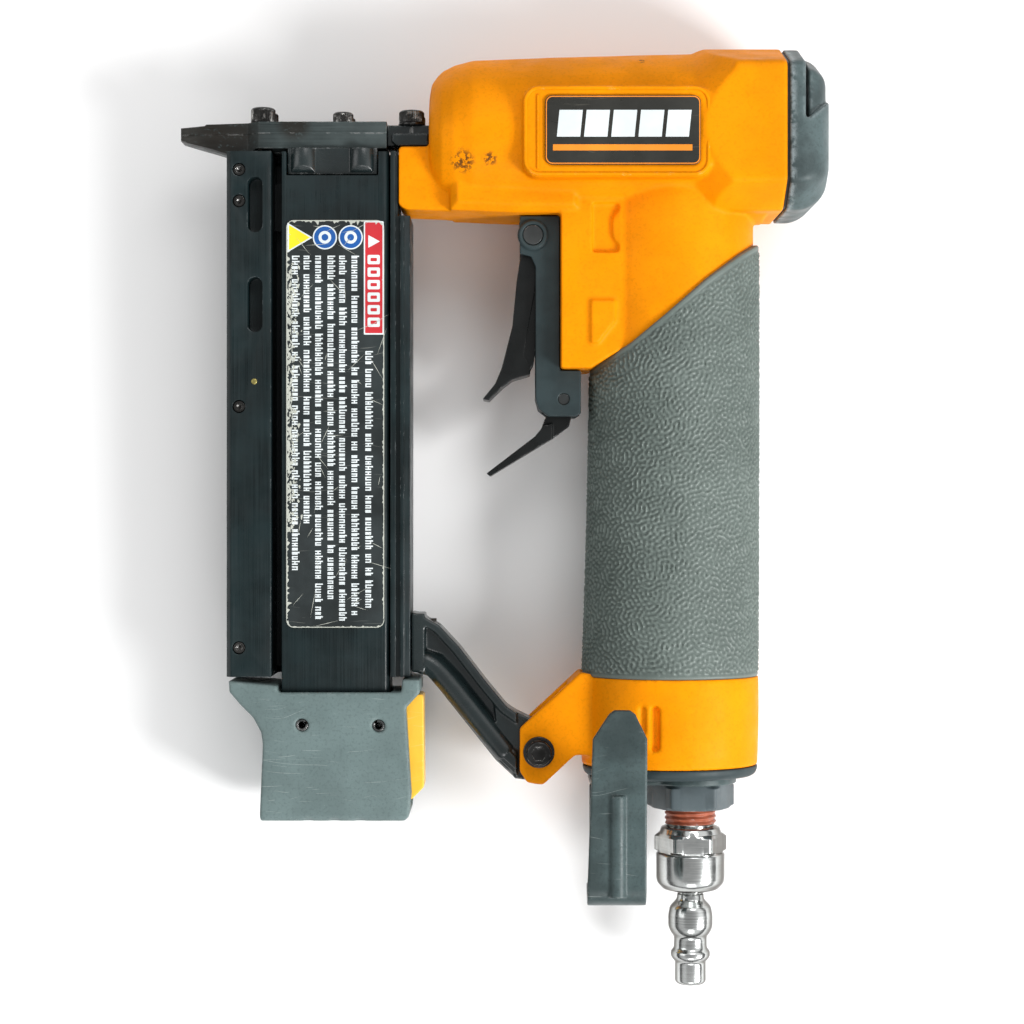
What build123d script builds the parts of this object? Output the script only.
"""Pneumatic headless pin nailer lying on its side, built from separate pieces.

Every piece is drawn in the tool's own frame: X runs back from the nose tip, Y runs up
from the air inlet to the head, and Z = 0 is the plane that splits the tool into its
left half (+Z, facing up) and right half. Head and nose pieces are drawn about the
driver line as Y = 0, and on_driver_line() puts them in their place.
save() then shifts each piece so that the origin is the bottom centre of the whole tool.
"""
from build123d import *
import os

# ---- driving dimensions, mm -------------------------------------------------
TOOL_LENGTH = 173.4          # nose tip to the back of the exhaust cover
HEAD_TOP = 21.9              # datum line to the top of the barrel
INLET_TIP = -230.4           # datum line to the end of the air plug
HEAD_HALF_WIDTH = 24.0       # middle plane to the outside of a nameplate
HOOK_TOP = 31.6              # middle plane to the outside of the belt hook
COVER_ROUND = 8.5            # rounding of the exhaust cover's back edge

# head
DRIVER_Y = -1.1              # the driver line lies this far from the datum line
BARREL_FRONT = 67.3
BARREL_END_RADIUS = 23.0
FLANGE_FRONT = 147.8
FLANGE_BACK = 161.6
FLANGE_TOP = 23.0
FLANGE_BOTTOM = -21.2
FLANGE_HALF_Z = 23.9
CAP_SCREW_OFFSET = 14.8
CAP_SCREW_TIP = 150.5
CAP_PLATE_FRONT = 162.5
CAP_PLATE_BACK = 163.9
BORE_RADIUS = 16.7
BORE_FRONT = 72.0
VALVE_BORE_RADIUS = 18.6
VALVE_BORE_FRONT = 144.4
LINER_INNER_RADIUS = 14.0
LINER_FRONT = 73.5
LINER_BACK = 146.4
PISTON_FRONT = 137.0
PISTON_LENGTH = 8.0
STROKE = 50.0
BLADE_HALF_Y = 0.45
BLADE_HALF_Z = 0.9

# nose
PLATE_BACK = 55.8
NOSE_SCREW_RADIUS = 1.5
NOSE_SCREW_Z = 3.9
BASE_SCREW_X = 62.4
PLATE_HALF_WIDTH = 7.5
TIP_HALF_WIDTH = 3.6
CHANNEL_HALF_Y = 0.55
CHANNEL_HALF_Z = 1.0
UPPER_PLATE_TOP = 3.67
LOWER_PLATE_BOTTOM = -3.5

# magazine
MAG_HALF = 10.5
MAG_LEFT = 13.1
STRIP_RIGHT = 25.1
PIN_SLOT_LEFT = 17.9
LUG_LEFT = 29.4
LUG_RIGHT = 53.4
LUG_BOTTOM = -11.8
LUG_X = (33.5, 49.2)
LUG_RADIUS = 3.9
SLIDE_LEFT = 27.9
SLIDE_RIGHT = 56.6
RAIL_LEFT = 57.0
MAG_RIGHT = 62.2
MAG_TOP = -5.8
MAG_BOTTOM = -146.4
SLIDE_BOTTOM = -154.0
RAIL_SCREW_X = 16.5
RAIL_SCREW_Y = (-10.7, -19.1, -74.1, -138.6)
WINDOW_X = 20.8
WINDOWS = ((-12.7, -27.5), (-39.5, -54.2))
ARM_SCREW_Y = (-132.6, -142.0)
CAP_HALF = 12.0
CAP_PINS = ((33.5, -159.1), (53.9, -159.3))
CAP_PIN_RADIUS = 1.6

# grip and handle
HANDLE_X = 133.3
HANDLE_HALF_X = 23.3
HANDLE_HALF_Z = 18.2
GRIP_WALL = 2.2
GRIP_BOTTOM = -146.7
HANDLE_BOTTOM = -170.7
DISC_BOTTOM = -173.6
HOOK_PLATE_BOTTOM = -175.6
INLET_X = 138.0
BODY_FACE = 102.5
FLANK = 13.5                 # middle plane to the flat side of the neck

# trigger group
TRIGGER_PIVOT = (95.1, -28.1)
LEVER_PIVOT = (103.4, -72.0)
PIN_RADIUS = 2.0
STEM_Y = -50.0
STEM_RADIUS = 1.6
STEM_TIP_X = 92.3
LEVER_PIN_RADIUS = 1.5
NIPPLE_STEM = 3.2
NIPPLE_COLLAR = 4.3
FRAME_HALF = 8.8
CHEEK = 2.2

# arm
ARM_BOLT = (96.7, -166.7)
ARM_BOLT_RADIUS = 2.5

# ---- general ----------------------------------------------------------------
FIT = 0.05                   # clearance round a pin, screw or shaft
GAP = 0.3                    # clearance between pieces that pass each other

ORIGIN = (TOOL_LENGTH / 2, (HEAD_TOP + INLET_TIP) / 2, -HEAD_HALF_WIDTH)


def save(name, shape):
    """Write one node, moved from the tool's own frame to the part's frame."""
    moved = Pos(-ORIGIN[0], -ORIGIN[1], -ORIGIN[2]) * shape
    export_step(moved, f"parts/{name}.step")


def slab(outline, z_low, z_high, radius=0.0):
    """Plate whose outline is drawn in XY, from one height to another."""
    face = make_face(Polyline(*outline, close=True))
    if radius:
        face = fillet(face.vertices(), radius)
    return Pos(0, 0, z_low) * extrude(face, z_high - z_low)


def block(x, y, z):
    """Box from three (low, high) pairs."""
    size = [high - low for low, high in (x, y, z)]
    middle = [(high + low) / 2 for low, high in (x, y, z)]
    return Pos(*middle) * Box(*size)


def rod_x(x_low, x_high, radius, y=0.0, z=0.0):
    return Pos((x_low + x_high) / 2, y, z) * Rot(0, 90, 0) * Cylinder(radius, x_high - x_low)


def rod_y(y_low, y_high, radius, x=0.0, z=0.0):
    return Pos(x, (y_low + y_high) / 2, z) * Rot(90, 0, 0) * Cylinder(radius, y_high - y_low)


def rod_z(z_low, z_high, radius, x=0.0, y=0.0):
    return Pos(x, y, (z_low + z_high) / 2) * Cylinder(radius, z_high - z_low)


def turned_x(profile, y=0.0):
    """Solid of revolution about the driver's direction, from (x, radius) points."""
    first = (profile[0][0], 0.0)
    last = (profile[-1][0], 0.0)
    face = make_face(Polyline(first, *profile, last, close=True))
    return Pos(0, y, 0) * revolve(face, Axis.X)


def turned_y(profile, x):
    """Solid of revolution about a line along Y, from (y, radius) points."""
    first = (0.0, profile[0][0])
    last = (0.0, profile[-1][0])
    face = make_face(Polyline(first, *[(r, y) for y, r in profile], last, close=True))
    return Pos(x, 0, 0) * revolve(face, Axis.Y)


def oval(x, y_high, y_low, half_x, half_z):
    """Elliptical prism along Y."""
    plane = Plane(origin=(x, y_high, 0), x_dir=(1, 0, 0), z_dir=(0, -1, 0))
    return extrude(plane * Ellipse(half_x, half_z), y_high - y_low)


def oval_loft(sections):
    """Loft through ellipses given as (y, centre x, half x, half z)."""
    faces = []
    for y, x, half_x, half_z in sections:
        plane = Plane(origin=(x, y, 0), x_dir=(1, 0, 0), z_dir=(0, -1, 0))
        faces.append(plane * Ellipse(half_x, half_z))
    return loft(faces)


def hex_prism_y(y_low, y_high, corner_radius, x):
    plane = Plane(origin=(x, y_high, 0), x_dir=(1, 0, 0), z_dir=(0, -1, 0))
    return extrude(plane * RegularPolygon(corner_radius, 6), y_high - y_low)


def coil_sleeve_x(x_low, x_high, outer, inner, y=0.0):
    """Closed envelope of a coil spring along X."""
    return rod_x(x_low, x_high, outer, y) - rod_x(x_low - 1, x_high + 1, inner, y)


def on_driver_line(shape):
    """A head or nose piece, moved from the driver line to its place in the tool."""
    return Pos(0, DRIVER_Y, 0) * shape


def mirrored(shape):
    """The shape and its mirror image across the middle plane."""
    return shape + mirror(shape, Plane.XY)


# ---- head -------------------------------------------------------------------
def flange_solid(x_low, x_high, shrink=0.0):
    """Prism with the flange's section: flat sides, narrow top, wide bottom."""
    plane = Plane(origin=(x_low, 0, 0), x_dir=(0, 1, 0), z_dir=(1, 0, 0))
    half = [(FLANGE_TOP - shrink, 8.0), (16.8 - shrink * 0.6, FLANGE_HALF_Z - shrink),
            (-14.5 + shrink * 0.6, FLANGE_HALF_Z - shrink), (FLANGE_BOTTOM + shrink, 14.0)]
    outline = half + [(y, -z) for y, z in reversed(half)]
    face = make_face(Polyline(*outline, close=True))
    return extrude(plane * fillet(face.vertices(), 2.5), x_high - x_low)


def barrel():
    profile = [(BARREL_FRONT, 11.8), (67.9, 14.8), (69.2, 16.6), (70.8, 18.2), (74.0, 19.8), (79.0, 21.1),
               (100.0, 21.9), (126.8, 22.6), (FLANGE_FRONT, BARREL_END_RADIUS),
               (FLANGE_BACK - 4, BARREL_END_RADIUS)]
    return turned_x(profile)


def nose_rail():
    """Block under the barrel that carries the nose and closes the trigger bay."""
    narrow = slab([(59.2, -4.4), (72, -4.4), (110, -6), (110, -22.6), (90.5, -22.6), (61.0, -21.3),
                   (59.2, -20.2)], -10.0, 10.0)
    wide = slab([(73.0, -8.0), (108, -8.0), (108, -22.6), (90.5, -22.6), (73.0, -21.9)], -15.0, 15.0)
    wide = chamfer(wide.edges().filter_by(Axis.Z, reverse=True), 2.0)
    return fillet(narrow.edges().filter_by(Axis.Z), 0.6) + wide


def flange_flare():
    """Cone that widens from the barrel to the flat sides of the flange."""
    cone = turned_x([(138.0, 22.8), (148.6, 28.4), (FLANGE_FRONT + 2, 28.4)])
    return cone & flange_solid(137.0, FLANGE_FRONT + 1)


def neck():
    """Body between barrel and handle."""
    upper = oval(HANDLE_X - 0.4, -8, -70, HANDLE_HALF_X - 1.2, HANDLE_HALF_Z - 1.2)
    front = slab([(BODY_FACE, -10), (128, -10), (128, -51.8), (121.0, -57.4), (110.4, -64.0),
                  (BODY_FACE, -64.0)], -FLANK, FLANK)
    gusset = slab([(90, -10), (BODY_FACE + 8, -10), (BODY_FACE + 8, -34), (BODY_FACE, -22)],
                  -10.0, 10.0)
    side_panel = slab([(108, -14), (146, -14), (146, -28), (140, -40), (122, -54), (108, -60)],
                      -FLANK, FLANK)
    return upper + front + gusset + side_panel


def handle_core():
    """Inner handle that the grip sleeve wraps, and the bare end below it."""
    core = oval(HANDLE_X, -40, GRIP_BOTTOM, HANDLE_HALF_X - GRIP_WALL, HANDLE_HALF_Z - GRIP_WALL)
    end = oval_loft([(GRIP_BOTTOM, 132.4, 24.0, 18.4), (-160.0, 132.4, 24.05, 18.6),
                     (HANDLE_BOTTOM, 132.3, 23.8, 18.4)])
    return core + end


def ears():
    """Pair of lugs on the handle end that hold the magazine arm."""
    outline = [(113, -146.0), (107.8, -145.4), (91.6, -160.4), (91.6, -172.0), (93.6, -175.0),
               (97.8, -175.6), (106.4, -167.6), (113, -167.6)]
    lugs = slab(outline, -8.2, 8.2)
    slot = block((85, 104.5), (-180, -140), (-4.9, 4.9))
    return fillet(lugs.edges().filter_by(Axis.Z), 1.2) - slot


def side_pads():
    """Raised pads on both sides of the barrel for the nameplates."""
    outline = [(92.3, -14.6), (141.6, -14.6), (141.6, 9.3), (92.3, 9.3)]
    pad = slab(outline, 12.0, HEAD_HALF_WIDTH - 0.6, 4.0)
    pocket = slab([(98.0, -11.7), (139.0, -11.7), (139.0, 6.7), (98.0, 6.7)],
                  HEAD_HALF_WIDTH - 1.2, HEAD_HALF_WIDTH + 1, 2.0)
    return mirrored(pad), mirrored(pocket)


def relief_marks():
    """Raised moulded wedges on each side of the neck, and the pockets beside them."""
    lens = Pos(122.8, -26.6, 0) * Cylinder(6.9, 2 * FLANK) & slab(
        [(116.2, -20.0), (119.0, -20.0), (119.0, -33.2), (116.2, -33.2)], FLANK - 1.6, FLANK - 0.2)
    lower = slab([(110.4, -45.9), (117.2, -45.9), (116.9, -51.5), (112.4, -57.4), (110.4, -57.4)],
                 FLANK - 1, FLANK + 1.0)
    pocket = slab([(110.8, -20.0), (118.0, -20.0), (118.0, -33.2), (110.8, -33.2)],
                  FLANK - 1.4, FLANK + 1)
    return mirrored(lower), mirrored(pocket), mirrored(lens)


def body_housing():
    pads, pockets = side_pads()
    wedges, wells, lenses = relief_marks()
    head = barrel() + flange_flare() + flange_solid(FLANGE_FRONT, FLANGE_BACK)
    solid = on_driver_line(head) + nose_rail() + neck()
    solid = solid - wells + lenses + pads + wedges
    solid += handle_core() + ears()
    solid -= grip_sleeve()
    solid -= pockets
    solid -= on_driver_line(head_cavities())
    solid -= rod_y(HANDLE_BOTTOM - 1, -12, 9.0, HANDLE_X)
    solid -= rod_x(BODY_FACE - 1, 123.0, 6.6, STEM_Y)
    solid -= rod_y(HANDLE_BOTTOM - 1, HANDLE_BOTTOM + 7, 13.2, INLET_X - 2)
    solid -= rod_z(-12, 12, ARM_BOLT_RADIUS + FIT, *ARM_BOLT)
    for x_low, x_high, y_low in ((122.8, 124.8, -161.1), (126.2, 128.4, -165.6)):
        solid -= mirrored(block((x_low, x_high), (y_low, -153.7), (16.4, 20)))
    return solid


def head_cavities():
    """Bores, screw holes and nose seat of the housing, about the driver line."""
    solid = rod_x(BORE_FRONT, FLANGE_BACK + 1, BORE_RADIUS)
    solid += rod_x(VALVE_BORE_FRONT, FLANGE_BACK + 1, VALVE_BORE_RADIUS)
    solid += block((BARREL_FRONT - 12, BORE_FRONT + 1), (-2.9, 3.2), (-7.7, 7.7))
    for z in (-NOSE_SCREW_Z, NOSE_SCREW_Z):
        solid += rod_y(-13, -2, NOSE_SCREW_RADIUS + FIT, BASE_SCREW_X, z)
    for y, z in cap_screw_places():
        solid += rod_x(CAP_SCREW_TIP - 1, FLANGE_BACK + 1, 1.5 + FIT, y, z)
    return solid


def cap_screw_places():
    """Centres of the four screws at the flange corners."""
    return [(sy * CAP_SCREW_OFFSET, sz * CAP_SCREW_OFFSET) for sy in (-1, 1) for sz in (-1, 1)]


def cylinder_liner():
    tube = rod_x(LINER_FRONT, LINER_BACK, BORE_RADIUS - FIT)
    tube -= rod_x(LINER_FRONT - 1, LINER_BACK + 1, LINER_INNER_RADIUS)
    for x in (80.0, 142.0):
        tube -= groove_ring(x, BORE_RADIUS)
    return tube


def groove_ring(x, radius):
    return rod_x(x, x + 2.4, radius + 2) - rod_x(x - 1, x + 4, radius - 1.4)


def cylinder_seals():
    """Two O-rings that seal the liner in the barrel."""
    rings = [Pos(x + 1.2, 0, 0) * Rot(0, 90, 0) * Torus(BORE_RADIUS - 0.66, 0.62)
             for x in (80.0, 142.0)]
    return Compound(rings)


def bumper():
    """Rubber stop in front of the piston, with a hole for the driver blade."""
    profile = [(BORE_FRONT + 1.5, 13.9), (78, 13.9), (80, 12.6), (82.4, 12.6), (84.2, 13.6), (86.6, 12.6)]
    return turned_x(profile) - block((BORE_FRONT, 90), (-1.2, 1.2), (-1.8, 1.8))


def piston():
    profile = [(PISTON_FRONT, 8.0), (PISTON_FRONT + 1, LINER_INNER_RADIUS - FIT),
               (PISTON_FRONT + PISTON_LENGTH, LINER_INNER_RADIUS - FIT)]
    solid = turned_x(profile)
    solid -= groove_ring(PISTON_FRONT + 3.4, LINER_INNER_RADIUS)
    solid -= block((PISTON_FRONT - 1, PISTON_FRONT + 5), (-0.5, 0.5), (-0.95, 0.95))
    return solid


def piston_seal():
    middle = PISTON_FRONT + 4.6
    return Pos(middle, 0, 0) * Rot(0, 90, 0) * Torus(LINER_INNER_RADIUS - 0.68, 0.6)


def driver_blade():
    return block((STROKE, PISTON_FRONT + 4.9), (-BLADE_HALF_Y, BLADE_HALF_Y), (-BLADE_HALF_Z, BLADE_HALF_Z))


def head_valve():
    """Sliding valve that closes the back of the cylinder."""
    profile = [(LINER_BACK + 0.1, 15.4), (149.9, 15.4), (150.4, 18.4), (153.9, 18.4), (153.9, 9.0),
               (156.4, 9.0)]
    groove = rod_x(151.5, 152.8, 20.0) - rod_x(151.0, 154.0, 17.2)
    return turned_x(profile) - rod_x(148.4, 160.0, 6.0) - groove


def head_valve_seal():
    return Pos(152.15, 0, 0) * Rot(0, 90, 0) * Torus(17.9, 0.6)


def head_valve_spring():
    return coil_sleeve_x(154.1, 160.6, 12.6, 10.6)


def cylinder_cap():
    """Plate that closes the head, with the guide for the head valve."""
    plate = flange_solid(CAP_PLATE_FRONT, CAP_PLATE_BACK, 0.7)
    plug = rod_x(159.1, CAP_PLATE_BACK, 18.4) - rod_x(158.0, 160.8, 14.0)
    guide = rod_x(157.0, 161.4, 5.6)
    port = rod_x(155.0, 170.0, 3.4)
    solid = plate + plug + guide - port
    for y, z in cap_screw_places():
        solid -= rod_x(150, 170, 1.5 + FIT, y, z)
    return solid


def cap_gasket():
    sheet = flange_solid(FLANGE_BACK, CAP_PLATE_FRONT, 0.9) - rod_x(150, 170, 18.45)
    for y, z in cap_screw_places():
        sheet -= rod_x(150, 170, 1.5 + FIT, y, z)
    return sheet


def cap_screws():
    """Four socket screws that hold the cylinder cap to the flange."""
    return Compound([socket_screw_x(CAP_SCREW_TIP, CAP_PLATE_BACK, 1.5, 2.6, 3.0, y, z)
                     for y, z in cap_screw_places()])


def socket_screw_x(x_low, x_seat, radius, head_radius, head, y, z):
    solid = rod_x(x_low, x_seat, radius, y, z) + rod_x(x_seat, x_seat + head, head_radius, y, z)
    plane = Plane(origin=(x_seat + head - 1.6, y, z), x_dir=(0, 1, 0), z_dir=(1, 0, 0))
    return solid - extrude(plane * RegularPolygon(1.45, 6), 4)


def exhaust_cover():
    """Soft-edged cover over the cylinder cap, stepped in and open at the top of its back."""
    shell = flange_solid(FLANGE_BACK + 0.4, TOOL_LENGTH, 0.2)
    shell = fillet(shell.faces().sort_by(Axis.X)[-1].edges(), COVER_ROUND)
    core = flange_solid(FLANGE_BACK, TOOL_LENGTH - 0.8, 2.8)
    core = fillet(core.faces().sort_by(Axis.X)[-1].edges(), COVER_ROUND - 2.4)
    inside = flange_solid(FLANGE_BACK - 1, 167.4, 2.0)
    rim = flange_solid(FLANGE_BACK - 1, CAP_PLATE_BACK + 0.05, 0.65)
    step = slab([(166.4, 1.5), (173.0, 7.0), (180.0, 7.0), (180.0, 30.0), (166.4, 30.0)], -40, 40)
    outlet = block((160.0, 180.0), (8.0, 15.0), (-11.0, 11.0))
    outlet = fillet(outlet.edges().filter_by(Axis.X), 2.5)
    return shell - (step - core) - inside - rim - outlet


def exhaust_filter():
    """Felt disc in front of the outlet."""
    return rod_x(165.6, 167.2, 14.0)


# ---- nose -------------------------------------------------------------------
def plate_outline():
    return [(0, -TIP_HALF_WIDTH), (6, -4.9), (18.2, -4.9), (21.5, -PLATE_HALF_WIDTH),
            (PLATE_BACK, -PLATE_HALF_WIDTH), (PLATE_BACK, PLATE_HALF_WIDTH),
            (21.5, PLATE_HALF_WIDTH), (18.2, 4.9), (6, 4.9), (0, TIP_HALF_WIDTH)]


def plan_prism(outline, y_low, y_high):
    """Prism whose outline is drawn looking down on the nose, as (x, z) points."""
    plane = Plane(origin=(0, y_low, 0), x_dir=(1, 0, 0), z_dir=(0, -1, 0))
    face = plane * make_face(Polyline(*[(x, z) for x, z in outline], close=True))
    return extrude(face, -(y_high - y_low))


def side_prism(outline, half_width):
    return slab(outline, -half_width, half_width)


def nose_screw_places():
    """Centres of the screws through the nose plates, as (x, z) points."""
    return [(x, side * NOSE_SCREW_Z) for x in (22.3, 43.9) for side in (-1, 1)]


def nose_upper_plate():
    profile = side_prism([(0, CHANNEL_HALF_Y), (0, 2.5), (6.6, 2.9), (7.0, 3.3), (18.8, UPPER_PLATE_TOP),
                          (PLATE_BACK, UPPER_PLATE_TOP), (PLATE_BACK, CHANNEL_HALF_Y)], 20)
    solid = profile & plan_prism(plate_outline(), -5, 5)
    for x, z in nose_screw_places():
        solid -= rod_y(-10, 10, NOSE_SCREW_RADIUS + FIT, x, z)
    return solid


def nose_lower_plate():
    """Lower nose plate with the driver channel, the pin gate and two lugs over the magazine."""
    profile = side_prism([(0, CHANNEL_HALF_Y), (PLATE_BACK, CHANNEL_HALF_Y), (PLATE_BACK, LOWER_PLATE_BOTTOM),
                          (20.6, LOWER_PLATE_BOTTOM), (18.8, -4.5), (12.4, -4.5), (8.5, -3.3), (0, -1.0)], 20)
    solid = profile & plan_prism(plate_outline(), -5, 5)
    solid -= block((-1, 60), (-CHANNEL_HALF_Y, 2), (-CHANNEL_HALF_Z, CHANNEL_HALF_Z))
    solid -= block((PIN_SLOT_LEFT, STROKE), (-5, 0), (-0.5, 0.5))
    for x, z in nose_screw_places():
        solid -= rod_y(-10, 10, NOSE_SCREW_RADIUS + FIT, x, z)
    return solid


def screw_y(x, z, seat, y_low, radius, head_radius, head):
    """Socket-cap screw pointing down along Y with its head above the seat."""
    solid = rod_y(y_low, seat, radius, x, z) + rod_y(seat, seat + head, head_radius, x, z)
    plane = Plane(origin=(x, seat + head + 1, z), x_dir=(1, 0, 0), z_dir=(0, -1, 0))
    return solid - extrude(plane * RegularPolygon(head_radius * 0.5, 6), 3)


def nose_screws():
    heads = ((3.3, 4.1), (3.3, 4.1), (2.75, 2.9), (2.75, 2.9))
    return Compound([screw_y(x, z, UPPER_PLATE_TOP, LOWER_PLATE_BOTTOM, NOSE_SCREW_RADIUS, radius, height)
                     for (x, z), (radius, height) in zip(nose_screw_places(), heads)])


def nose_base():
    """Bracket that ties the nose plates to the front of the barrel."""
    lower = slab([(57.3, 0.4), (57.3, -1.6), (58.6, -2.8), (67.0, -2.8), (67.0, 0.4)], -7.5, 7.5)
    guide = block((PLATE_BACK + 0.1, 71.9), (-2.6, 3.0), (-5.6, 5.6))
    solid = lower + guide
    solid -= block((50, 80), (-CHANNEL_HALF_Y, CHANNEL_HALF_Y), (-CHANNEL_HALF_Z, CHANNEL_HALF_Z))
    for z in (-NOSE_SCREW_Z, NOSE_SCREW_Z):
        solid -= rod_y(-5, 5, NOSE_SCREW_RADIUS + FIT, BASE_SCREW_X, z)
    return solid


def base_screws():
    return Compound([screw_y(BASE_SCREW_X, z, 3.6, -12.0, NOSE_SCREW_RADIUS, 3.4, 3.4)
                     for z in (-NOSE_SCREW_Z, NOSE_SCREW_Z)])


def base_washers():
    rings = [rod_y(3.0, 3.6, 3.6, BASE_SCREW_X, z) - rod_y(0, 5, NOSE_SCREW_RADIUS + FIT, BASE_SCREW_X, z)
             for z in (-NOSE_SCREW_Z, NOSE_SCREW_Z)]
    return Compound(rings)


# ---- magazine ---------------------------------------------------------------
def magazine_rail():
    """Fixed extrusion: pin strip on the left, back wall and guide rail on the right."""
    strip = block((MAG_LEFT, STRIP_RIGHT), (MAG_BOTTOM, MAG_TOP), (-MAG_HALF, MAG_HALF))
    strip = chamfer(strip.edges().filter_by(Axis.Y).group_by(Axis.X)[0], 1.2)
    wall = block((STRIP_RIGHT - 1, RAIL_LEFT + 1), (MAG_BOTTOM, MAG_TOP), (-MAG_HALF, -8.0))
    rail = block((RAIL_LEFT, MAG_RIGHT), (MAG_BOTTOM, MAG_TOP), (-MAG_HALF, MAG_HALF))
    rail -= block((58.4, 59.6), (MAG_BOTTOM - 1, MAG_TOP + 1), (9.3, 12))
    rail -= block((60.6, MAG_RIGHT + 1), (MAG_BOTTOM - 1, MAG_TOP + 1), (9.7, 12))
    rail -= block((58.9, MAG_RIGHT + 1), (-23.0, MAG_TOP + 1), (-12, 12))
    solid = strip + wall + rail
    solid -= block((PIN_SLOT_LEFT, STRIP_RIGHT + 1), (MAG_BOTTOM - 1, MAG_TOP + 1), (-0.5, 0.5))
    for y_high, y_low in WINDOWS:
        window = Pos(WINDOW_X, (y_high + y_low) / 2, 6) * SlotOverall(y_high - y_low, 4.0, rotation=90)
        solid -= Pos(0, 0, -1) * extrude(window, 10)
    for y in RAIL_SCREW_Y:
        solid -= rod_z(9.0, 12, 1.75, RAIL_SCREW_X, y)
        solid -= rod_z(-12, 12, 1.0 + FIT, RAIL_SCREW_X, y)
    for y in ARM_SCREW_Y:
        solid -= rod_x(RAIL_LEFT + 1, MAG_RIGHT + 1, 1.5 + FIT, y)
    return solid


def rail_screws():
    return Compound([small_screw_z(RAIL_SCREW_X, y) for y in RAIL_SCREW_Y])


def small_screw_z(x, y):
    solid = rod_z(-6, 9.0, 1.0, x, y) + rod_z(9.0, 10.0, 1.6, x, y)
    return solid - Pos(x, y, 9.4) * extrude(RegularPolygon(0.7, 6), 2)


def pin_guide():
    """Hardened strip in the bottom of the pin slot."""
    return block((STRIP_RIGHT, SLIDE_LEFT - 0.4), (MAG_BOTTOM + 2, MAG_TOP - 2), (-8.0, -3.0))


def slide_face():
    """Long cover of the sliding magazine, with a notch for the nose lugs."""
    outline = [(SLIDE_LEFT, SLIDE_BOTTOM), (SLIDE_RIGHT, SLIDE_BOTTOM), (SLIDE_RIGHT, MAG_TOP),
               (LUG_RIGHT + 0.3, MAG_TOP), (LUG_RIGHT + 0.3, LUG_BOTTOM - 0.4),
               (LUG_LEFT - 0.3, LUG_BOTTOM - 0.4), (LUG_LEFT - 0.3, MAG_TOP), (SLIDE_LEFT, MAG_TOP)]
    return slab(outline, 7.6, 10.2)


def magazine_slide():
    solid = slide_face()
    solid = chamfer(solid.edges().filter_by(Axis.Y).group_by(Axis.X)[-1].sort_by(Axis.Z)[-1], 0.9)
    for x_low in (SLIDE_LEFT, SLIDE_RIGHT - 2.4):
        solid += block((x_low, x_low + 2.4), (SLIDE_BOTTOM, -12.6), (-7.6, 8.0))
    floor = block((SLIDE_LEFT, SLIDE_RIGHT), (SLIDE_BOTTOM, -12.6), (-7.6, -5.8))
    solid += floor
    solid -= block((SLIDE_LEFT - 1, SLIDE_LEFT + 3), (SLIDE_BOTTOM - 1, -5), (-0.6, 0.6))
    return solid


def nose_lugs():
    """Bracket under the nose, with two half-round lugs that fill the notch in the slide."""
    foot = block((LUG_LEFT, LUG_RIGHT), (-5.7, DRIVER_Y + LOWER_PLATE_BOTTOM), (-7.4, 8.6))
    apron = block((LUG_LEFT, LUG_RIGHT), (LUG_BOTTOM, -4.6), (4.0, 8.6))
    solid = foot + apron
    for x in LUG_X:
        lug = rod_y(LUG_BOTTOM, -4.8, LUG_RADIUS, x, 6.4) & block((0, 60), (-20, 0), (5.0, 12.0))
        lug -= Pos(x, LUG_BOTTOM, 11.2) * Rot(45, 0, 0) * Box(10, 4.4, 4.4)
        solid += lug
    return solid - block((PIN_SLOT_LEFT, STROKE), (-8, 0), (-0.5, 0.5))


def magazine_cap_outline():
    return [(13.9, -147.4), (27.0, -148.6), (27.0, -150.4), (60.0, -150.4), (60.2, -147.0), (64.9, -147.0),
            (64.9, -150.6), (61.2, -154.6), (62.6, -177.6), (62.0, -183.6), (60.8, -184.8), (22.3, -184.8),
            (22.2, -183.0), (23.0, -164.4), (22.6, -161.2), (20.5, -157.2), (17.0, -153.7), (14.1, -150.3)]


def magazine_end_cap():
    """Moulded pull at the bottom of the slide."""
    solid = slab(magazine_cap_outline(), -CAP_HALF, CAP_HALF)
    long_edges = solid.faces().sort_by(Axis.Y)[0].edges().filter_by(Axis.X)
    solid = chamfer(long_edges, 1.0)
    channel = block((SLIDE_LEFT - GAP, SLIDE_RIGHT + GAP), (SLIDE_BOTTOM - GAP, -140), (-8.0, 10.6))
    solid -= channel
    solid -= latch_pocket()
    for x, y in CAP_PINS:
        solid -= rod_z(-20, 20, CAP_PIN_RADIUS + FIT, x, y)
    for x in (35.0, 42.0, 49.0):
        solid -= mirrored(rod_y(-186, -184, 1.6, x, CAP_HALF))
    return solid


def latch_pocket():
    upper = block((46.0, 70.0), (-166.0, -151.0), (-6.6, 6.6))
    lower = block((50.0, 70.0), (-182.0, -166.5), (-6.6, 6.6))
    return upper + lower + block((50.0, 70.0), (-170.0, -160.0), (-6.6, 6.6))


def cap_pins():
    """Two roll pins through the end cap; the right one carries the latch."""
    pins = [rod_z(-CAP_HALF + 0.4, CAP_HALF - 0.4, CAP_PIN_RADIUS, x, y)
            - rod_z(-20, 20, 0.8, x, y) for x, y in CAP_PINS]
    return Compound(pins)


def latch():
    """Push latch in the side of the end cap, pivoting on the right-hand roll pin."""
    outline = [(51.0, -156.5), (56.6, -156.2), (59.4, -151.6), (65.6, -151.4), (65.8, -176.4),
               (62.6, -179.6), (60.4, -179.6), (59.4, -163.0), (51.0, -162.4)]
    solid = slab(outline, -6.0, 6.0)
    solid = fillet(solid.edges().filter_by(Axis.Z).sort_by(Axis.X)[-2:], 0.8)
    return solid - rod_z(-10, 10, CAP_PIN_RADIUS + FIT, *CAP_PINS[1])


def latch_spring():
    return rod_x(50.0, 58.6, 2.2, -171.0) - rod_x(49.0, 60.0, 1.5, -171.0)


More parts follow.
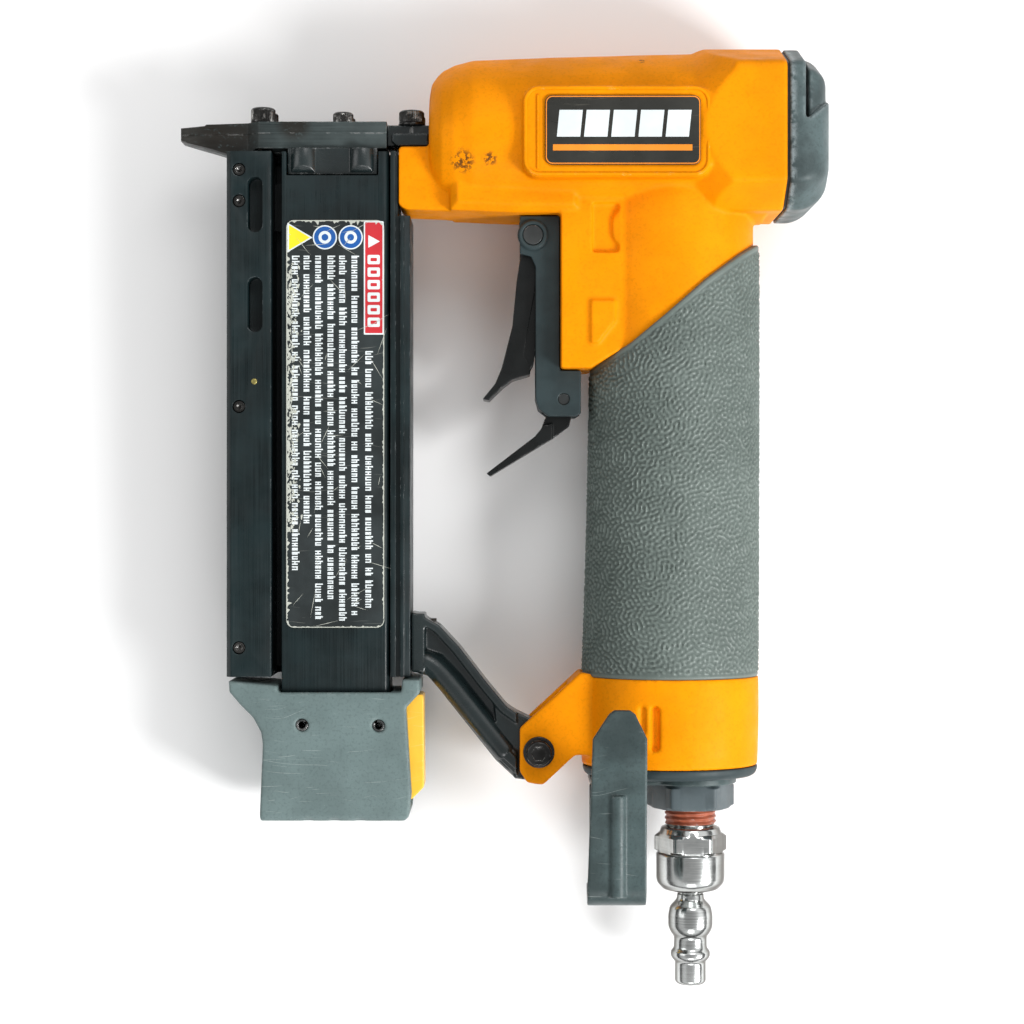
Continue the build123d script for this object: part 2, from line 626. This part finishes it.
def pusher():
    """Follower that presses the pin stick towards the nose."""
    blade = block((PIN_SLOT_LEFT + GAP, 31.4), (-26.0, -13.2), (-0.4, 0.4))
    body = block((31.0, 52.0), (-30.0, -13.2), (-5.0, 6.6))
    spring_seat = rod_y(-31, -22, 3.4, 45.0)
    return blade + body - spring_seat


def pusher_spring():
    return rod_y(SLIDE_BOTTOM + 2, -22.2, 3.2, 45.0) - rod_y(SLIDE_BOTTOM, -20, 2.4, 45.0)


def magazine_label():
    return slab([(29.0, -133.0), (55.2, -133.0), (55.2, -24.3), (29.0, -24.3)], 10.2, 10.5, 2.0)


# ---- arm --------------------------------------------------------------------
def arm_upper_edge():
    return [(62.4, -129.2), (64.6, -129.8), (69.9, -132.8), (75.3, -138.6), (82.4, -147.8), (88.0, -154.6),
            (92.0, -157.4)]


def arm_lower_edge():
    return [(93.2, -174.6), (90.2, -174.2), (85.1, -169.5), (76.4, -158.6), (69.9, -150.4), (66.6, -146.6),
            (62.4, -145.4)]


def beside(points, distance):
    """Line moved sideways, to the left of its own direction."""
    moved = []
    for k, (x, y) in enumerate(points):
        before, after = points[max(k - 1, 0)], points[min(k + 1, len(points) - 1)]
        along_x, along_y = after[0] - before[0], after[1] - before[1]
        length = (along_x ** 2 + along_y ** 2) ** 0.5
        moved.append((x - along_y / length * distance, y + along_x / length * distance))
    return moved


def arm_bead():
    """Thick rounded rib along the lower edge of the arm, built up in layers."""
    lower = arm_lower_edge()[1:]
    solid = None
    for half_z, inset in ((6.3, 2.2), (5.5, 1.1), (4.4, 0.4), (2.9, 0.0)):
        outline = beside(lower, -inset) + beside(lower, inset - 6.8)[::-1]
        layer = slab(outline, -half_z, half_z)
        solid = layer if solid is None else solid + layer
    return solid


def magazine_arm():
    """Cast arm from the magazine rail to the lugs on the handle end."""
    upper, lower = arm_upper_edge(), arm_lower_edge()
    solid = slab(upper + lower, -2.4, 2.4)
    solid += slab(upper + beside(upper, -2.2)[::-1], -6.4, 6.4) + arm_bead()
    solid += block((62.4, 66.0), (-145.4, -129.6), (-6.4, 6.4))
    solid += slab([(84.5, -152.5), (90.6, -156.2), (99.0, -160.2), (103.6, -164.0), (103.6, -169.4),
                   (98.0, -173.6), (93.2, -174.6), (90.2, -174.2), (86.0, -166.0)], -4.7, 4.7)
    solid -= block((40, 62.4), (-180, -120), (-10, 10))
    solid -= block((90.8, 110), (-180, -150), (4.7, 10)) + block((90.8, 110), (-180, -150), (-10, -4.7))
    solid -= rod_z(-10, 10, ARM_BOLT_RADIUS + FIT, *ARM_BOLT)
    for y in ARM_SCREW_Y:
        solid -= rod_x(61, 70, 1.5 + FIT, y)
    return solid


def arm_screws():
    """Two screws from inside the rail into the arm's foot."""
    return Compound([rod_x(RAIL_LEFT + 1.1, 69.0, 1.5, y) for y in ARM_SCREW_Y])


def arm_bolt():
    solid = rod_z(-8.2, 9.2, ARM_BOLT_RADIUS, *ARM_BOLT) + rod_z(9.2, 13.0, 3.4, *ARM_BOLT)
    solid += rod_z(-11.0, -8.2, ARM_BOLT_RADIUS, *ARM_BOLT)
    return solid - Pos(ARM_BOLT[0], ARM_BOLT[1], 10.6) * extrude(RegularPolygon(1.75, 6), 4)


def arm_washer():
    return rod_z(8.2, 9.2, 4.2, *ARM_BOLT) - rod_z(0, 12, ARM_BOLT_RADIUS + FIT, *ARM_BOLT)


def arm_nut():
    nut = Pos(ARM_BOLT[0], ARM_BOLT[1], -12.2) * extrude(RegularPolygon(4.6, 6), 4.0)
    return nut - rod_z(-20, 0, ARM_BOLT_RADIUS + FIT, *ARM_BOLT)


# ---- trigger group ----------------------------------------------------------
def trigger_frame():
    """Black frame in front of the handle that carries trigger and safety lever."""
    cheek_outline = [(91.6, -22.9), (102.3, -22.9), (102.3, -64.4), (108.0, -64.4), (108.0, -75.8),
                     (106.8, -76.6), (99.2, -76.6), (96.6, -74.6), (95.8, -71.6), (95.8, -36.5),
                     (94.6, -33.8), (91.6, -33.0)]
    solid = slab(cheek_outline, -FRAME_HALF, FRAME_HALF)
    bay = slab([(85, -22.0), (100.6, -22.0), (100.6, -68.2), (85, -68.2)],
               -(FRAME_HALF - CHEEK), FRAME_HALF - CHEEK)
    lever_slot = block((97.6, 110), (-80, -67.4), (-3.4, 3.4))
    solid = solid - bay - lever_slot
    solid -= rod_x(90, 110, 4.4, STEM_Y)
    solid -= rod_z(-20, 20, PIN_RADIUS + FIT, *TRIGGER_PIVOT)
    solid -= rod_z(-20, 20, LEVER_PIN_RADIUS + FIT, *LEVER_PIVOT)
    return solid


def trigger_pin():
    pin = rod_z(-FRAME_HALF, FRAME_HALF, PIN_RADIUS, *TRIGGER_PIVOT)
    return pin + rod_z(FRAME_HALF, FRAME_HALF + 0.9, 2.6, *TRIGGER_PIVOT)


def lever_pin():
    return rod_z(-FRAME_HALF + 0.4, FRAME_HALF - 0.4, LEVER_PIN_RADIUS, *LEVER_PIVOT)


def trigger():
    """Curved channel-section trigger that hangs on its pin."""
    face = [(91.4, -24.4), (91.9, -32.4), (90.7, -40.5), (89.6, -52.2), (88.5, -56.6), (86.7, -63.6),
            (85.0, -67.7), (81.6, -71.9)]
    back = [(83.3, -72.2), (87.0, -68.6), (89.6, -66.6), (94.4, -65.2), (94.4, -62.8), (92.8, -60.0),
            (94.0, -52.0), (96.4, -40.0), (98.6, -31.0), (98.4, -25.4), (96.4, -23.9), (92.6, -23.6)]
    half = FRAME_HALF - CHEEK - GAP
    solid = slab(face + back, -half, half)
    hollow = slab([(93.8, -21.0), (94.2, -32.4), (92.8, -41.0), (91.7, -52.0), (90.4, -58.6), (92.0, -62.6),
                   (100, -63.4), (100, -21.0)], -(half - 1.4), half - 1.4)
    solid -= hollow
    return solid - rod_z(-20, 20, PIN_RADIUS + FIT, *TRIGGER_PIVOT)


def safety_lever():
    """Finger lever below the trigger frame."""
    hub = rod_z(-3.0, 3.0, 3.4, *LEVER_PIVOT)
    root = slab([(100.2, -73.6), (106.4, -73.6), (105.6, -76.6), (104.9, -79.2), (100.6, -82.4),
                 (96.0, -85.2), (95.7, -81.9), (97.4, -79.7), (98.6, -76.6)], -3.0, 3.0)
    blade = slab([(100.4, -78.4), (100.4, -82.5), (83.6, -92.7), (82.6, -91.9), (95.7, -81.9), (98.0, -79.0)],
                 -5.4, 5.4)
    return hub + root + blade - rod_z(-10, 10, LEVER_PIN_RADIUS + FIT, *LEVER_PIVOT)


def valve_body():
    """Trigger valve cartridge in the side of the handle."""
    solid = rod_x(BODY_FACE, 121.0, 6.5, STEM_Y)
    solid -= rod_x(100, 130, STEM_RADIUS + FIT, STEM_Y)
    solid -= rod_x(107.0, 122.0, 4.2, STEM_Y)
    for x in (104.0, 116.5):
        solid -= rod_x(x, x + 1.8, 8.0, STEM_Y) - rod_x(x - 1, x + 3, 5.4, STEM_Y)
    return solid


def valve_seals():
    rings = [Pos(x + 0.9, STEM_Y, 0) * Rot(0, 90, 0) * Torus(5.98, 0.55) for x in (104.0, 116.5)]
    return Compound(rings)


def valve_stem():
    tip = STEM_TIP_X
    profile = [(tip, 1.0), (tip + 0.6, STEM_RADIUS), (107.4, STEM_RADIUS), (107.4, 3.6), (109.4, 3.6),
               (109.4, 1.2), (113.0, 1.2)]
    return turned_x(profile, STEM_Y)


def valve_spring():
    return coil_sleeve_x(109.6, 120.6, 3.4, 2.6, STEM_Y)


# ---- grip, air inlet, hook --------------------------------------------------
def grip_sleeve():
    """Moulded rubber sleeve with a slanting top edge."""
    outer = oval_loft([(-26.0, 133.6, 23.0, 18.2), (-95.0, HANDLE_X, HANDLE_HALF_X, HANDLE_HALF_Z),
                       (GRIP_BOTTOM + 0.05, 132.4, 24.0, 18.6)])
    keep = slab([(90, -64.6), (109.8, -64.6), (121.4, -57.4), (129.4, -51.6), (142.4, -39.8), (153.6, -32.0),
                 (158, -29.4), (175, -29.4), (175, -160), (90, -160)], -30, 30)
    inner = oval(HANDLE_X, -20, -150, HANDLE_HALF_X - GRIP_WALL + FIT, HANDLE_HALF_Z - GRIP_WALL + FIT)
    return (outer & keep) - inner


def handle_end_cap():
    """Disc that closes the handle, with a socket for the inlet bushing."""
    disc = oval_loft([(HANDLE_BOTTOM - 0.05, 132.4, 23.7, 18.3), (-172.4, 132.4, 23.4, 18.0),
                      (DISC_BOTTOM, 132.4, 22.0, 16.8)])
    spigot = rod_y(HANDLE_BOTTOM - 1, HANDLE_BOTTOM + 6, 12.4, INLET_X - 2)
    return disc + spigot - rod_y(-190, -150, 7.1, INLET_X)


def end_cap_seal():
    y = HANDLE_BOTTOM + 3.0
    return Pos(INLET_X - 2, y, 0) * Rot(90, 0, 0) * Torus(12.8, 0.35)


def belt_hook():
    """Bent steel hook clamped under the inlet bushing."""
    base = block((110.4, INLET_X), (HOOK_PLATE_BOTTOM, DISC_BOTTOM - 0.05), (-9.0, 9.0))
    base += rod_y(HOOK_PLATE_BOTTOM, DISC_BOTTOM - 0.05, 12.4, INLET_X)
    base += block((110.4, 124.0), (HOOK_PLATE_BOTTOM, DISC_BOTTOM - 0.05), (5.0, 22.0))
    base -= rod_y(-190, -150, 7.2, INLET_X)
    back = block((109.8, 123.6), (-200.0, DISC_BOTTOM - 0.05), (19.8, 22.0))
    face = HOOK_TOP - 1.3
    front_outline = [(109.0, -200.0), (110.4, -161.0), (114.6, -154.6), (116.0, -153.6), (120.0, -153.6),
                     (121.4, -154.6), (124.5, -161.0), (124.3, -200.0)]
    front = slab(front_outline, face - 2.2, face)
    bend_z = (19.8 + face) / 2
    bend_radius = (face - 19.8) / 2
    bend = rod_x(109.1, 124.3, bend_radius, -199.5, bend_z)
    bend -= rod_x(90, 140, bend_radius - 2.2, -199.5, bend_z)
    bend &= block((90, 140), (-220, -199.5), (0, 60))
    rib = rod_y(-202.0, -175.6, 2.4, 116.8, HOOK_TOP - 2.4)
    rib &= block((100, 140), (-203, -170), (HOOK_TOP - 2.5, HOOK_TOP))
    return base + back + front + bend + rib


def inlet_bushing():
    """Hexagonal bushing that clamps the hook and takes the air plug."""
    solid = hex_prism_y(-182.4, HOOK_PLATE_BOTTOM - 0.05, 12.0, INLET_X)
    solid += rod_y(-178, HANDLE_BOTTOM + 4, 7.0, INLET_X)
    solid -= rod_y(-184, -150, 4.4, INLET_X)
    return solid - rod_y(-184, -176, 6.3, INLET_X)


def plug_body():
    """Threaded swivel body of the air plug."""
    profile = [(-205.2, 5.0), (-204.4, 7.6), (-202.8, 9.0), (-201.6, 9.3), (-194.5, 9.3), (-194.5, 8.9),
               (-189.4, 8.9), (-189.4, 8.6), (-187.9, 8.0), (-187.1, 6.9), (-182.5, 6.9), (-182.5, 6.2),
               (-176.8, 6.2)]
    solid = turned_y(profile, INLET_X)
    hexagon = hex_prism_y(-194.5, -189.4, 10.0, INLET_X) & rod_y(-196, -188, 9.75, INLET_X)
    solid += hexagon
    solid -= rod_y(-205.0, -175, 3.0, INLET_X)
    solid -= rod_y(-201.4, -197.7, NIPPLE_COLLAR + GAP, INLET_X)
    return solid - rod_y(-209, -198.0, NIPPLE_STEM + FIT, INLET_X)


def plug_nipple():
    """Quick-connect nipple, free to turn in the plug body."""
    profile = [(INLET_TIP, 3.6), (-229.8, 4.2), (-224.4, 4.2), (-223.6, 4.9), (-222.8, 5.35), (-221.6, 5.35),
               (-220.6, 4.5), (-217.6, 4.45), (-216.4, 5.4), (-214.8, 6.05), (-211.8, 6.05), (-209.4, 5.6),
               (-207.4, 3.7), (-206.0, 3.6), (-206.0, NIPPLE_STEM),
               (-201.1, NIPPLE_STEM), (-201.1, NIPPLE_COLLAR), (-198.3, NIPPLE_COLLAR)]
    return turned_y(profile, INLET_X) - rod_y(-240, -190, 2.4, INLET_X)


# ---- labels -----------------------------------------------------------------
def nameplate():
    return slab([(98.2, -11.5), (138.8, -11.5), (138.8, 6.5), (98.2, 6.5)],
                HEAD_HALF_WIDTH - 1.15, HEAD_HALF_WIDTH, 1.8)


def main():
    os.makedirs("parts", exist_ok=True)
    on_driver = (cylinder_liner, cylinder_seals, bumper, piston, piston_seal, driver_blade, head_valve,
                 head_valve_seal, head_valve_spring, cylinder_cap, cap_gasket, cap_screws, exhaust_cover,
                 exhaust_filter, nose_upper_plate, nose_lower_plate, nose_screws, nose_base, base_screws,
                 base_washers)
    in_place = (body_housing, nose_lugs, magazine_rail, rail_screws, pin_guide, magazine_slide,
                magazine_label, magazine_end_cap, cap_pins, latch, latch_spring, pusher, pusher_spring,
                magazine_arm, arm_screws, arm_bolt, arm_washer, arm_nut, trigger_frame, trigger_pin,
                lever_pin, trigger, safety_lever, valve_body, valve_seals, valve_stem, valve_spring,
                grip_sleeve, handle_end_cap, end_cap_seal, belt_hook, inlet_bushing, plug_body,
                plug_nipple)
    for piece in on_driver:
        save(piece.__name__, on_driver_line(piece()))
    for piece in in_place:
        save(piece.__name__, piece())
    save("nameplate_left", nameplate())
    save("nameplate_right", mirror(nameplate(), Plane.XY))


main()
